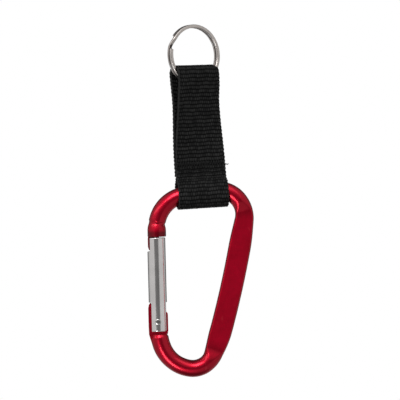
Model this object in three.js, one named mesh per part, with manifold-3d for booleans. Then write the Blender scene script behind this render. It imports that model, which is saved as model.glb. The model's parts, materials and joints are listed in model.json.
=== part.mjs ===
// Carabiner keyring: a D-shaped snap carabiner that hangs by a sewn webbing strap from a split ring.
// Millimetres. +Z is up, +X points to the carabiner's spine, -Y is the front.
// The origin is 0.4 mm below the inside top of the split ring, the middle of the thin hook or key that holds it.
import * as THREE from "three";
import { mergeVertices } from "three/addons/utils/BufferGeometryUtils.js";
import Module from "manifold-3d";

const wasm = await Module();
wasm.setup();

// Split ring: flattened wire wound twice, with one crossover from the rear coil to the front coil.
const RING_OUTER_RADIUS = 12.5;
const RING_WIRE_RADIAL = 1.4;
const RING_WIRE_AXIAL = 1.3;
const RING_COIL_OFFSET = 0.7;
const RING_WIRE_BEVEL = 0.4;
const RING_CENTRE_Z = -10.7;
const RING_YAW = 36;
const RING_REAR_END = 141;
const RING_FRONT_END = 169;
const RING_CROSSOVER = 22;

// Webbing strap: one strip sewn into two loops, twisted from the bar's plane to the ring's plane.
const STRAP_HALF_WIDTH = 10.3;
const STRAP_HALF_WIDTH_IN_RING = 9.3;
const STRAP_THICKNESS = 1.3;
const STRAP_EDGE_BEVEL = 0.35;
const STRAP_LEAN = 0.037;
const STRAP_FOOT_X = 2.1;
const STRAP_FOOT_Z = -73.6;
const BAR_YAW = 3;
const BAR_SKEW = 0.1;
const TWIST_BOTTOM_Z = -68.3;
const TWIST_TOP_Z = -26.3;
const RING_FOLD_Z = -18.3;
const RING_FOLD_RADIUS = 2.95;
const BAR_FOLD_Z = -68.3;
const BAR_FOLD_RADIUS = 4.85;
const RING_FOLD_END_Z = -34;
const BAR_FOLD_START_Z = -60.6;
const TAIL_TOP_Z = -53.4;
const CUT_GAP = 0.3;

// Seam: a zigzag band over two straight rows, on both faces.
const ZIGZAG_TOP_Z = -54.1;
const ZIGZAG_BOTTOM_Z = -57.0;
const ZIGZAG_COUNT = 17;
const SEAM_ROWS_Z = [-58.0, -59.5];
const SEAM_HALF_WIDTH = 9.3;
const THREAD_RADIUS = 0.2;

// Carabiner frame: a bent rod from the nose, over the top bar, down the spine to the hinge shoulder.
const ROD_RADIUS = 3.5;
const FRAME_X = -17.1;
const NOSE_FACE_Z = -84.95;
const SHOULDER_Z = -125.1;
const SPINE_HALF_THICKNESS = 2.17;
const SPINE_HALF_WIDTH = 4.6;
const SPINE_SIDE = 0.8;
const PRESS_START = [46.5, 52.5];
const PRESS_END = [109.5, 115.5];
const WIDEN_START = [47, 67];
const WIDEN_END = [102.5, 117];
const ROD_SIDES = 24;
const ROD_STEP = 1.7;

// Centre line as [length, degrees turned clockwise seen from the front].
const CENTRE_LINE = [
  [3.4, 0],
  [19.4, 81.8],
  [12.2, 0],
  [20.6, 108.4],
  [44.6, 6.0],
  [12.1, 6.3],
  [12.0, 77.0],
  [15.5, 62.3],
  [5.0, 14.0],
];

// Nose collar, a turned barrel with a groove behind it: [distance from the nose face, radius].
const COLLAR = [
  [0, 3.58],
  [0.3, 3.8],
  [2.4, 3.8],
  [3.4, 3.74],
  [4.3, 3.58],
  [5.2, 3.33],
  [6.0, 3.3],
  [6.4, ROD_RADIUS],
];
const SHOULDER_CHAMFER = 1.5;
const SHOULDER_SLOPE = 0.5;
const SHOULDER_RADIUS = 3.66;

// Gate: a bar with a spring bore, a slot for the nose's tongue and a slot for the hinge tang.
const GATE_X = -17.4;
const PIVOT_Z = -119.8;
const GATE_RADIUS = 3.72;
const GATE_TOP = 34.5;
const GATE_BOTTOM = -4.0;
const GATE_EDGE = 0.3;
const GATE_END_SWEEP = 4.75;
const SHOULDER_RELIEF = 5.4;
const BLADE_THICKNESS = 3.0;
const SLOT_WIDTH = 3.4;
const TANG_SLOT_TOP = 8.0;
const TONGUE_SLOT_BOTTOM = 28.8;
const TONGUE_SLOT_DEPTH_X = 1.6;
const FLAT_MILL_X = -2.62;
const FLAT_MILL_TOP = [29.0, 36.0];
const FLAT_MILL_BOTTOM = [-6.0, 7.9];
const BORE_RADIUS = 2.15;
const BORE_TOP = 27.0;
const RIVET_RADIUS = 1.2;
const RIVET_HALF_LENGTH = 3.9;
const EAR_HOLE_RADIUS = 1.23;
const TANG_HOLE_RADIUS = 1.27;

// Plunger and spring inside the gate, measured from the pivot.
const PLUNGER_BOTTOM = 4.3;
const PLUNGER_SHOULDER = 6.6;
const PLUNGER_TOP = 8.4;
const PLUNGER_RADIUS = 1.95;
const SPIGOT_RADIUS = 1.0;
const SPRING_RADIUS = 1.55;
const SPRING_WIRE = 0.28;
const SPRING_TURNS = 11;
const SPRING_BOTTOM = 7.0;
const SPRING_TOP = 26.6;

const radians = THREE.MathUtils.degToRad;

function smooth(low, high, value) {
  return THREE.MathUtils.smoothstep(value, low, high);
}

// Value at x of a list of [x, value] pairs, joined by straight lines.
function interpolate(pairs, x) {
  for (let i = 0; i + 1 < pairs.length; i++) {
    const [x0, v0] = pairs[i];
    const [x1, v1] = pairs[i + 1];
    if (x <= x1) {
      return v0 + (v1 - v0) * Math.max(0, (x - x0) / (x1 - x0));
    }
  }
  return pairs[pairs.length - 1][1];
}

// Closed body through a list of convex rings of [x, y, z] points, with flat end caps.
function skin(rings) {
  const count = rings[0].length;
  const faces = [];
  for (let i = 0; i + 1 < rings.length; i++) {
    for (let k = 0; k < count; k++) {
      const a = i * count + k;
      const b = i * count + ((k + 1) % count);
      faces.push(a, b, b + count, a, b + count, a + count);
    }
  }
  const last = (rings.length - 1) * count;
  for (let k = 1; k + 1 < count; k++) {
    faces.push(0, k + 1, k, last, last + k, last + k + 1);
  }
  const points = rings.flat();
  let volume = 0;
  for (let i = 0; i < faces.length; i += 3) {
    const [a, b, c] = [0, 1, 2].map((j) => new THREE.Vector3(...points[faces[i + j]]));
    volume += a.dot(b.cross(c));
  }
  if (volume < 0) {
    faces.reverse();
  }
  const geometry = new THREE.BufferGeometry();
  geometry.setAttribute("position", new THREE.Float32BufferAttribute(points.flat(), 3));
  geometry.setIndex(faces);
  return geometry;
}

function toSolid(geometry) {
  const bare = geometry.clone();
  bare.deleteAttribute("normal");
  bare.deleteAttribute("uv");
  const merged = mergeVertices(bare, 1e-4);
  return new wasm.Manifold(new wasm.Mesh({
    numProp: 3,
    vertProperties: new Float32Array(merged.attributes.position.array),
    triVerts: new Uint32Array(merged.index.array),
  }));
}

function toGeometry(solid) {
  const mesh = solid.getMesh();
  const geometry = new THREE.BufferGeometry();
  geometry.setAttribute("position", new THREE.BufferAttribute(mesh.vertProperties, 3));
  geometry.setIndex(new THREE.BufferAttribute(mesh.triVerts, 1));
  return geometry;
}

function part(name, geometry, color, metalness, roughness) {
  const material = new THREE.MeshStandardMaterial({ color, metalness, roughness, flatShading: true });
  const mesh = new THREE.Mesh(geometry, material);
  mesh.name = name;
  return mesh;
}

// Box between two corners.
function block(low, high) {
  const size = high.map((value, i) => value - low[i]);
  const box = new THREE.BoxGeometry(...size);
  box.translate(...low.map((value, i) => value + size[i] / 2));
  return toSolid(box);
}

// Round bar along Y through the gate's pivot.
function pivotBar(radius, length, sides) {
  const bar = new THREE.CylinderGeometry(radius, radius, length, sides);
  bar.translate(GATE_X, 0, PIVOT_Z);
  return toSolid(bar);
}

// Tube of round section along a list of points, with the section kept square to the path.
function tube(points, radius, sides) {
  const path = points.map((point) => new THREE.Vector3(...point));
  let side = new THREE.Vector3(0.3, 1, 0.2);
  const rings = path.map((point, i) => {
    const before = path[Math.max(0, i - 1)];
    const after = path[Math.min(path.length - 1, i + 1)];
    const forward = after.clone().sub(before).normalize();
    side = side.clone().addScaledVector(forward, -side.dot(forward)).normalize();
    const up = forward.clone().cross(side);
    return Array.from({ length: sides }, (_, k) => {
      const angle = (2 * Math.PI * k) / sides;
      const spot = point.clone()
        .addScaledVector(side, radius * Math.cos(angle))
        .addScaledVector(up, radius * Math.sin(angle));
      return spot.toArray();
    });
  });
  return skin(rings);
}

// Split ring -------------------------------------------------------------------------------------

function onRing(radius, angle, front) {
  const yaw = radians(RING_YAW);
  const across = radius * Math.cos(radians(angle));
  return [
    across * Math.cos(yaw) + front * Math.sin(yaw),
    across * Math.sin(yaw) - front * Math.cos(yaw),
    RING_CENTRE_Z + radius * Math.sin(radians(angle)),
  ];
}

// Wire section as [radius, front offset]: a rectangle with bevelled corners.
function wireSection(front) {
  const middle = RING_OUTER_RADIUS - RING_WIRE_RADIAL / 2;
  const wide = RING_WIRE_RADIAL / 2;
  const thick = RING_WIRE_AXIAL / 2;
  const bevel = RING_WIRE_BEVEL;
  const corners = [
    [wide, thick - bevel], [wide - bevel, thick], [bevel - wide, thick], [-wide, thick - bevel],
    [-wide, bevel - thick], [bevel - wide, -thick], [wide - bevel, -thick], [wide, bevel - thick],
  ];
  return corners.map(([r, n]) => [middle + r, front + n]);
}

function splitRing() {
  const crossStart = 360 - (RING_FRONT_END - RING_REAR_END) + (RING_FRONT_END - RING_REAR_END - RING_CROSSOVER) / 2;
  const total = 720 - (RING_FRONT_END - RING_REAR_END);
  const steps = 100;
  const rings = [];
  for (let i = 0; i <= steps; i++) {
    const turned = (total * i) / steps;
    const move = smooth(crossStart, crossStart + RING_CROSSOVER, turned);
    const front = RING_COIL_OFFSET * (2 * move - 1);
    rings.push(wireSection(front).map(([r, n]) => onRing(r, RING_REAR_END - turned, n)));
  }
  return part("split_ring", skin(rings), "#b9b2ab", 1.0, 0.25);
}

// Webbing strap ----------------------------------------------------------------------------------

// Point on the strap: across its width, out from its middle plane to the front, and along its height.
function onStrap(across, out, z) {
  const twist = smooth(TWIST_BOTTOM_Z, TWIST_TOP_Z, z);
  const yaw = radians(BAR_YAW + (RING_YAW - BAR_YAW) * twist);
  const middle = STRAP_FOOT_X - STRAP_LEAN * (z - STRAP_FOOT_Z);
  const skew = BAR_SKEW * (1 - twist);
  return [
    middle + across * Math.cos(yaw) + out * (Math.sin(yaw) + skew),
    across * Math.sin(yaw) - out * Math.cos(yaw),
    z + across * STRAP_LEAN,
  ];
}

// Band of webbing along a profile of [out, z] points. halfWidth gives the half width at each point.
function webbing(profile, halfWidth) {
  const t = STRAP_THICKNESS / 2;
  const b = STRAP_EDGE_BEVEL;
  const rings = profile.map(([out, z], i) => {
    const before = profile[Math.max(0, i - 1)];
    const after = profile[Math.min(profile.length - 1, i + 1)];
    const along = new THREE.Vector2(after[0] - before[0], after[1] - before[1]).normalize();
    const w = halfWidth(out, z);
    const section = [
      [w, t - b], [w - b, t], [b - w, t], [-w, t - b],
      [-w, b - t], [b - w, -t], [w - b, -t], [w, b - t],
    ];
    return section.map(([across, depth]) => onStrap(across, out - along.y * depth, z + along.x * depth));
  });
  return skin(rings);
}

// Smooth profile through [out, z] points.
function curve(points, steps) {
  const path = new THREE.CatmullRomCurve3(points.map(([out, z]) => new THREE.Vector3(out, z, 0)));
  return path.getPoints(steps).map((point) => [point.x, point.y]);
}

function arc(centreZ, radius, from, to, steps) {
  return Array.from({ length: steps + 1 }, (_, i) => {
    const angle = radians(from + ((to - from) * i) / steps);
    return [radius * Math.cos(angle), centreZ + radius * Math.sin(angle)];
  });
}

function fullWidth() {
  return STRAP_HALF_WIDTH;
}

// The strap narrows where it bends over the ring, so that it fits between the ring's sides.
function widthInRing(out, z) {
  const narrowed = smooth(RING_FOLD_Z - 0.2, RING_FOLD_Z + 1.6, z);
  return STRAP_HALF_WIDTH - (STRAP_HALF_WIDTH - STRAP_HALF_WIDTH_IN_RING) * narrowed;
}

const FRONT_TOP = [[2.95, RING_FOLD_Z - 0.6], [2.75, -23], [1.75, -29.3], [1.35, RING_FOLD_END_Z]];
const BACK_TOP = [[-2.95, RING_FOLD_Z - 0.6], [-2.75, -23], [-2.25, -29.3], [-2.1, RING_FOLD_END_Z]];
const FRONT_MIDDLE = [[1.33, RING_FOLD_END_Z - CUT_GAP], [0.95, -41], [0.7, -50], [0.7, BAR_FOLD_START_Z]];
const BACK_MIDDLE = [[-2.1, RING_FOLD_END_Z - CUT_GAP], [-2.05, -42], [-2.06, -52], [-2.06, -60.2]];
const BAR_LEG = [[0.76, -61.2], [1.9, -62.1], [3.5, -63.5], [4.6, -65.6], [BAR_FOLD_RADIUS, BAR_FOLD_Z + 0.5]];

function strapRingFold() {
  const bend = arc(RING_FOLD_Z, RING_FOLD_RADIUS, 180, 0, 14);
  const profile = [...curve(BACK_TOP, 9).reverse(), ...bend, ...curve(FRONT_TOP, 9)];
  return part("strap_ring_fold", webbing(profile, widthInRing), "#171717", 0.0, 0.9);
}

function strapFrontLayer() {
  return part("strap_front_layer", webbing(curve(FRONT_MIDDLE, 16), fullWidth), "#181818", 0.0, 0.9);
}

function strapBackLayer() {
  return part("strap_back_layer", webbing(curve(BACK_MIDDLE, 16), fullWidth), "#181818", 0.0, 0.9);
}

function strapBarFold() {
  const start = BAR_FOLD_START_Z - CUT_GAP;
  const front = [[0.72, start], [0.72, start - 0.2], ...curve(BAR_LEG, 10)];
  const bend = arc(BAR_FOLD_Z, BAR_FOLD_RADIUS, 0, -180, 16);
  const back = front.map(([out, z]) => [-out, z]).reverse();
  return part("strap_bar_fold", webbing([...front, ...bend, ...back], fullWidth), "#171717", 0.0, 0.9);
}

// End of the strip that comes up from the bar and is sewn in between the two layers.
function strapTail() {
  const profile = [[-0.68, TAIL_TOP_Z], [-0.68, -57], [-0.68, BAR_FOLD_START_Z]];
  return part("strap_tail", webbing(profile, fullWidth), "#161616", 0.0, 0.9);
}

// One thread: the zigzag across the strap, then a straight row back and a straight row out.
function seam(name, out) {
  const corner = 0.2;
  const path = [];
  for (let i = 0; i <= 2 * ZIGZAG_COUNT; i++) {
    const across = (SEAM_HALF_WIDTH - 0.3) * (i / ZIGZAG_COUNT - 1);
    const z = i % 2 ? ZIGZAG_TOP_Z : ZIGZAG_BOTTOM_Z;
    path.push(onStrap(across - corner, out, z), onStrap(across + corner, out, z));
  }
  for (const [row, side] of [[0, 1], [1, -1]]) {
    const z = SEAM_ROWS_Z[row];
    path.push(onStrap(side * SEAM_HALF_WIDTH, out, z), onStrap(-side * SEAM_HALF_WIDTH, out, z));
  }
  return part(name, tube(path, THREAD_RADIUS, 6), "#0d0d0d", 0.0, 0.8);
}

// Carabiner frame --------------------------------------------------------------------------------

// Stations along the centre line: distance, position in the XZ plane and heading.
function centreLine() {
  let [x, z, heading, distance] = [FRAME_X, NOSE_FACE_Z, 90, 0];
  const stations = [{ distance, x, z, heading }];
  for (const [length, turn] of CENTRE_LINE) {
    const steps = Math.ceil(length / ROD_STEP);
    for (let i = 0; i < steps; i++) {
      const middle = radians(heading - turn / steps / 2);
      x += (length / steps) * Math.cos(middle);
      z += (length / steps) * Math.sin(middle);
      heading -= turn / steps;
      distance += length / steps;
      stations.push({ distance, x, z, heading });
    }
  }
  return stations;
}

// Half width in the frame's plane, half thickness across it and the width of the round sides.
function rodSize(distance, total) {
  if (distance < COLLAR[COLLAR.length - 1][0]) {
    const radius = interpolate(COLLAR, distance);
    return [radius, radius, radius];
  }
  const pressed = smooth(...PRESS_START, distance) * (1 - smooth(...PRESS_END, distance));
  const widened = smooth(...WIDEN_START, distance) * (1 - smooth(...WIDEN_END, distance));
  const shoulder = smooth(total - 14, total - 4, distance) * (SHOULDER_RADIUS - ROD_RADIUS);
  const chamfer = Math.max(0, distance - total + SHOULDER_CHAMFER) * SHOULDER_SLOPE;
  const round = ROD_RADIUS + shoulder - chamfer;
  const wide = round + (SPINE_HALF_WIDTH - ROD_RADIUS) * widened;
  const thick = round + (SPINE_HALF_THICKNESS - ROD_RADIUS) * pressed;
  const side = round + (SPINE_SIDE - ROD_RADIUS) * pressed;
  return [wide, thick, side];
}

// Rod section: a circle that turns into a bar with flat front and back faces and round sides.
function rodSection(station, total) {
  const [wide, thick, side] = rodSize(station.distance, total);
  const outward = radians(station.heading + 90);
  return Array.from({ length: ROD_SIDES }, (_, k) => {
    const angle = (2 * Math.PI * (k + 0.5)) / ROD_SIDES;
    const across = side * Math.cos(angle) + Math.sign(Math.cos(angle)) * (wide - side);
    return [
      station.x + across * Math.cos(outward),
      thick * Math.sin(angle),
      station.z + across * Math.sin(outward),
    ];
  });
}

function addStation(stations, distance) {
  const after = stations.findIndex((station) => station.distance > distance);
  const [a, b] = [stations[after - 1], stations[after]];
  const share = (distance - a.distance) / (b.distance - a.distance);
  if (share < 0.05 || share > 0.95) {
    return;
  }
  const mix = (key) => a[key] + (b[key] - a[key]) * share;
  stations.splice(after, 0, { distance, x: mix("x"), z: mix("z"), heading: mix("heading") });
}

// Plate of even thickness in the frame's plane, from an outline measured from the pivot.
function blade(outline) {
  const shape = new THREE.Shape(outline.map(([x, z]) => new THREE.Vector2(GATE_X + x, PIVOT_Z + z)));
  const plate = new THREE.ExtrudeGeometry(shape, { depth: BLADE_THICKNESS, bevelEnabled: false });
  plate.translate(0, 0, -BLADE_THICKNESS / 2);
  plate.rotateX(Math.PI / 2);
  return toSolid(plate);
}

// Hinge tang: a finger on the outer side and a cam top that the plunger presses on.
const TANG = [
  [-2.9, -8.6], [-3.9, -5.2], [-4.0, -2.0], [-4.0, 5.6], [-3.7, 7.0], [-3.2, 7.7], [-2.8, 7.6],
  [-2.5, 6.6], [-2.3, 4.9], [-1.8, 4.2], [-1.2, 4.1], [2.9, 4.1], [3.5, 3.9], [3.9, 3.3], [4.0, 2.6],
  [4.0, -3.8], [3.8, -5.0], [3.0, -6.0], [2.6, -8.6],
];

// Nose tongue: a blade that the closed gate's top slot covers.
const TONGUE = [
  [-3.0, 38.5], [-3.45, 34.0], [-3.45, 30.8], [-3.0, 29.5], [-2.2, 29.1], [0.7, 29.1], [1.2, 29.6], [1.2, 38.5],
];

function carabinerFrame() {
  const stations = centreLine();
  const total = stations[stations.length - 1].distance;
  for (const [distance] of COLLAR.slice(1)) {
    addStation(stations, distance);
  }
  addStation(stations, total - SHOULDER_CHAMFER);
  let solid = toSolid(skin(stations.map((station) => rodSection(station, total))));
  const shoulderCut = block([GATE_X - 6, -6, SHOULDER_Z], [GATE_X + 6, 6, SHOULDER_Z + 6]);
  solid = solid.subtract(shoulderCut).subtract(pivotBar(SHOULDER_RELIEF, 12, 48));
  solid = solid.add(blade(TANG)).add(blade(TONGUE));
  solid = solid.subtract(pivotBar(TANG_HOLE_RADIUS, 12, 32));
  return part("carabiner_frame", toGeometry(solid), "#8f0a24", 0.9, 0.35);
}

// Gate -------------------------------------------------------------------------------------------

// Body turned about the gate's axis, from a profile of [radius, height above the pivot].
function turned(profile, sides) {
  const lathe = new THREE.LatheGeometry(profile.map(([r, z]) => new THREE.Vector2(r, z)), sides);
  lathe.rotateX(Math.PI / 2);
  lathe.translate(GATE_X, 0, PIVOT_Z);
  return lathe;
}

function gateBlock(low, high) {
  return block([GATE_X + low[0], low[1], PIVOT_Z + low[2]], [GATE_X + high[0], high[1], PIVOT_Z + high[2]]);
}

function gate() {
  const bar = turned([
    [0, GATE_BOTTOM], [GATE_RADIUS - GATE_EDGE, GATE_BOTTOM], [GATE_RADIUS, GATE_BOTTOM + GATE_EDGE],
    [GATE_RADIUS, GATE_TOP - GATE_EDGE], [GATE_RADIUS - GATE_EDGE, GATE_TOP], [0, GATE_TOP],
  ], 40);
  const bore = turned([[0, -8], [BORE_RADIUS, -8], [BORE_RADIUS, BORE_TOP], [0, BORE_TOP]], 32);
  const half = SLOT_WIDTH / 2;
  const cuts = [
    toSolid(bore),
    gateBlock([-6, -half, -8], [6, half, TANG_SLOT_TOP]),
    gateBlock([-6, -half, TONGUE_SLOT_BOTTOM], [TONGUE_SLOT_DEPTH_X, half, 40]),
    gateBlock([-6, -6, FLAT_MILL_TOP[0]], [FLAT_MILL_X, 6, FLAT_MILL_TOP[1]]),
    gateBlock([-6, -6, FLAT_MILL_BOTTOM[0]], [FLAT_MILL_X, 6, FLAT_MILL_BOTTOM[1]]),
    pivotBar(EAR_HOLE_RADIUS, 12, 32),
  ];
  const roundEnd = pivotBar(GATE_END_SWEEP, 12, 64).add(gateBlock([-6, -6, 0], [6, 6, 40]));
  let solid = toSolid(bar).intersect(roundEnd);
  for (const cut of cuts) {
    solid = solid.subtract(cut);
  }
  return part("gate", toGeometry(solid), "#b4ada9", 0.9, 0.4);
}

// Rivet through the gate's two ears and the tang, with slightly domed ends.
function gateRivet() {
  const profile = [
    [0, -RIVET_HALF_LENGTH], [RIVET_RADIUS * 0.55, 0.06 - RIVET_HALF_LENGTH],
    [RIVET_RADIUS, 0.3 - RIVET_HALF_LENGTH], [RIVET_RADIUS, RIVET_HALF_LENGTH - 0.3],
    [RIVET_RADIUS * 0.55, RIVET_HALF_LENGTH - 0.06], [0, RIVET_HALF_LENGTH],
  ];
  const lathe = new THREE.LatheGeometry(profile.map(([r, y]) => new THREE.Vector2(r, y)), 32);
  lathe.translate(GATE_X, 0, PIVOT_Z);
  return part("gate_rivet", toGeometry(toSolid(lathe)), "#c6c2be", 1.0, 0.25);
}

function gatePlunger() {
  const lathe = turned([
    [0, PLUNGER_BOTTOM], [PLUNGER_RADIUS - 0.25, PLUNGER_BOTTOM], [PLUNGER_RADIUS, PLUNGER_BOTTOM + 0.25],
    [PLUNGER_RADIUS, PLUNGER_SHOULDER], [SPIGOT_RADIUS, PLUNGER_SHOULDER],
    [SPIGOT_RADIUS, PLUNGER_TOP - 0.3], [SPIGOT_RADIUS - 0.3, PLUNGER_TOP], [0, PLUNGER_TOP],
  ], 24);
  return part("gate_plunger", toGeometry(toSolid(lathe)), "#a8a39c", 1.0, 0.35);
}

function gateSpring() {
  const steps = 14 * SPRING_TURNS;
  const points = Array.from({ length: steps + 1 }, (_, i) => {
    const angle = (2 * Math.PI * SPRING_TURNS * i) / steps;
    const z = PIVOT_Z + SPRING_BOTTOM + ((SPRING_TOP - SPRING_BOTTOM) * i) / steps;
    return [GATE_X + SPRING_RADIUS * Math.cos(angle), SPRING_RADIUS * Math.sin(angle), z];
  });
  return part("gate_spring", tube(points, SPRING_WIRE, 6), "#8d8a86", 1.0, 0.3);
}

const seamFace = STRAP_THICKNESS / 2 + THREAD_RADIUS + 0.04;

const keyring = new THREE.Group();
keyring.name = "carabiner_keyring";
keyring.add(
  splitRing(),
  strapRingFold(),
  strapFrontLayer(),
  strapBackLayer(),
  strapBarFold(),
  strapTail(),
  seam("seam_thread_front", 0.7 + seamFace),
  seam("seam_thread_back", -2.06 - seamFace),
  carabinerFrame(),
  gate(),
  gateRivet(),
  gatePlunger(),
  gateSpring(),
);

export default keyring;
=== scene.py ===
import json
import math

import bpy
import numpy as np
from mathutils import Matrix, Vector
from mathutils.kdtree import KDTree


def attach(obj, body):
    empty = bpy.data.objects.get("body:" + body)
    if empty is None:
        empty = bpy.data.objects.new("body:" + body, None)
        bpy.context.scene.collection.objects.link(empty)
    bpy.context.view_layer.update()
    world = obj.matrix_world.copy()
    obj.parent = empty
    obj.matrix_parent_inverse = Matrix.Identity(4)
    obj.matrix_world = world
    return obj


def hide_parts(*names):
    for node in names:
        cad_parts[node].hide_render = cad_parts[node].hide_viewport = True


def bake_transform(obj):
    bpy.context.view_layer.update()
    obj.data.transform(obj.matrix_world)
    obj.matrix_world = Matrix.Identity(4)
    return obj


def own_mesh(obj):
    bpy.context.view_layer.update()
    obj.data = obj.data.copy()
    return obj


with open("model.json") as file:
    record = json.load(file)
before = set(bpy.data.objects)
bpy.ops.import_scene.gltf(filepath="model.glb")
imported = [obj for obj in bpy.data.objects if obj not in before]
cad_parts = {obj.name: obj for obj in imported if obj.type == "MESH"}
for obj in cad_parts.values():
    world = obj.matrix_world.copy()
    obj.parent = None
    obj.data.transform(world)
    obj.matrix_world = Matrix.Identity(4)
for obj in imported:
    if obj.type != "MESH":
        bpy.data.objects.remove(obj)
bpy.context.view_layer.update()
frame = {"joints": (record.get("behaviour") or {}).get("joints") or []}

MM = 0.001

# Split ring: flattened wire wound twice, with one crossover. Its two ends are angles round the ring, and
# RING_GROOVE is measured from the wire's middle towards the other coil, over the band that gets painted
# shade.
RING_OUTER_RADIUS = 12.5
RING_WIRE_RADIAL = 1.4
RING_WIRE_AXIAL = 1.3
RING_WIRE_BEVEL = 0.42
RING_COIL_OFFSET = 0.7
RING_GROOVE = [0.22, 0.5]
RING_CENTRE_Z = -10.7
RING_YAW = 36
RING_REAR_END = 141
RING_FRONT_END = 169
RING_CROSSOVER = 22
RING_STEPS = 420
RING_END_INSET = 0.14
RING_END_ARC = 0.7

# Webbing strip. A leg is a list of (out, z) points, with out the distance in front of the strap's middle.
STRAP_HALF_WIDTH = 10.3
STRAP_HALF_WIDTH_IN_RING = 9.3
STRAP_THICKNESS = 1.3
STRAP_EDGE = 0.55
STRAP_LEAN = 0.037
STRAP_FOOT_X = 2.1
STRAP_FOOT_Z = -73.6
BAR_YAW = 3
BAR_SKEW = 0.1
TWIST_BOTTOM_Z = -68.3
TWIST_TOP_Z = -26.3
RING_FOLD_Z = -18.3
RING_FOLD_RADIUS = 2.95
RING_EYE_OUT = [1.5, 2.4]
BAR_FOLD_Z = -68.3
BAR_FOLD_RADIUS = 4.85
FRONT_LAYER_OUT = 0.7
BACK_LAYER_OUT = -2.06
TAIL_OUT = -0.68
BACK_LEG = [
    (BACK_LAYER_OUT, -60.2), (BACK_LAYER_OUT, -52), (-2.05, -42), (-2.1, -34.2), (-2.25, -29.3), (-2.75, -23),
    (-2.95, -18.9),
]
FRONT_LEG = [
    (2.95, -18.9), (2.75, -23), (1.75, -29.3), (1.35, -34.2), (0.95, -41), (FRONT_LAYER_OUT, -50),
    (FRONT_LAYER_OUT, -59.4),
]
BAR_LEG = [(0.72, -60.9), (1.3, -61.8), (2.4, -62.6), (3.6, -63.7), (4.5, -65.5), (4.85, -67.8)]
TAIL = [(TAIL_OUT, -59.4), (TAIL_OUT, -57), (TAIL_OUT, -53.4)]
STRIP_STEP = 0.2
STRIP_COLUMNS = 110
MELTED_END = [0.15, 0.9]
THINNED_END = [0.0, 0.35]

# Weave: rows across the strip, each a line of yarn crowns that sit half a crown over from the row before.
ROW_PITCH = 1.56
CROWN_PITCH = 1.02
WEAVE_RELIEF = 0.42
EDGE_KNOT = 0.11
EDGE_HEIGHT = 0.72
EDGE_CROWN = 0.96
BACK_CROWN_SHIFT = 0.31
BACK_ROW_SHIFT = 0.4 * ROW_PITCH
MELTED_HEIGHT = 0.5

# Seam: a zigzag band over two straight rows that are pulled into the webbing.
ZIGZAG_TOP_Z = -54.1
ZIGZAG_BOTTOM_Z = -57.0
ZIGZAG_COUNT = 17
SEAM_ROWS_Z = [-58.0, -59.5]
SEAM_HALF_WIDTH = 9.3
SEAM_PULL = 0.13
SEAM_ROW_SPREAD = 0.42
SEAM_SIDE = [0.9, 0.97]
ZIGZAG_PULL_SHARE = 0.35
ZIGZAG_OUTSIDE = 0.6
ZIGZAG_INSIDE = 0.3
ZIGZAG_LEAN = 0.3
STITCHES_PER_ROW = 8
STITCH_DEPTH = 0.45
THREAD_RADIUS = 0.2
THREAD_STEP = 0.17
ZIGZAG_RISE = 0.7 * THREAD_RADIUS
ROW_STITCH_SINK = 0.75 * SEAM_PULL

# Short ends of thread that stick out of the strap's two edges, as (across, out, z) points.
THREAD_ENDS = [
    [(-9.2, 1.35, -55.4), (-10.3, 1.5, -55.1), (-10.9, 1.3, -54.8)],
    [(-9.4, 1.3, -56.8), (-10.4, 1.4, -56.7), (-10.8, 1.6, -57.0)],
    [(9.1, 1.35, -55.8), (10.3, 1.55, -56.1), (10.9, 1.45, -56.3), (11.4, 1.4, -56.1)],
]

# Carabiner frame. Distances along the rod are from its nose face. SHOULDER_SWELL counts back from its end.
ROD_RADIUS = 3.5
FRAME_X = -17.1
NOSE_FACE_Z = -84.95
SHOULDER_Z = -125.1
SPINE_HALF_THICKNESS = 2.17
SPINE_HALF_WIDTH = 4.6
SPINE_SIDE = 0.8
PRESS_START = [46.5, 52.5]
PRESS_END = [109.5, 115.5]
WIDEN_START = [47, 67]
WIDEN_END = [102.5, 117]
SATIN_START = [50.5, 56.5]
SATIN_END = [105.5, 111.5]
ROD_SIDES = 72
ROD_STEP = 0.55
ROD_STEP_AT_NOSE = 0.1
ROD_STEP_AT_END = 0.15

# Centre line as (length, degrees turned clockwise seen from the front).
CENTRE_LINE = [
    (3.4, 0), (19.4, 81.8), (12.2, 0), (20.6, 108.4), (44.6, 6.0),
    (12.1, 6.3), (12.0, 77.0), (15.5, 62.3), (5.0, 14.0),
]
COLLAR_LENGTH = 5.2
COLLAR_RADIUS = 3.8
COLLAR_WIDEST = 2.4
COLLAR_CURVE = 0.06
COLLAR_RIM = 0.22
COLLAR_RIM_LENGTH = 0.3
COLLAR_SATIN = [4.6, 5.2]
TURNED_FACE = [1.5, 3.0]
GROOVE_RADIUS = 3.3
GROOVE_END = [6.0, 6.4]
SHOULDER_CHAMFER = 1.5
SHOULDER_SLOPE = 0.5
SHOULDER_RADIUS = 3.66
SHOULDER_SWELL = [14, 4]

# Blades on the frame's two ends, as (x, z) outlines from the gate's pivot.
TANG = [
    [-2.9, -8.6], [-3.9, -5.2], [-4.0, -2.0], [-4.0, 5.6], [-3.7, 7.0], [-3.2, 7.7], [-2.8, 7.6],
    [-2.5, 6.6], [-2.3, 4.9], [-1.8, 4.2], [-1.2, 4.1], [2.9, 4.1], [3.5, 3.9], [3.9, 3.3], [4.0, 2.6],
    [4.0, -3.8], [3.8, -5.0], [3.0, -6.0], [2.6, -8.6],
]
TONGUE = [
    [-3.0, 38.5], [-3.45, 34.0], [-3.45, 30.8], [-3.0, 29.5], [-2.2, 29.1],
    [0.7, 29.1], [1.2, 29.6], [1.2, 38.5],
]
BLADE_THICKNESS = 3.0
BLADE_EDGE = 0.15
TANG_HOLE_RADIUS = 1.27

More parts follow.
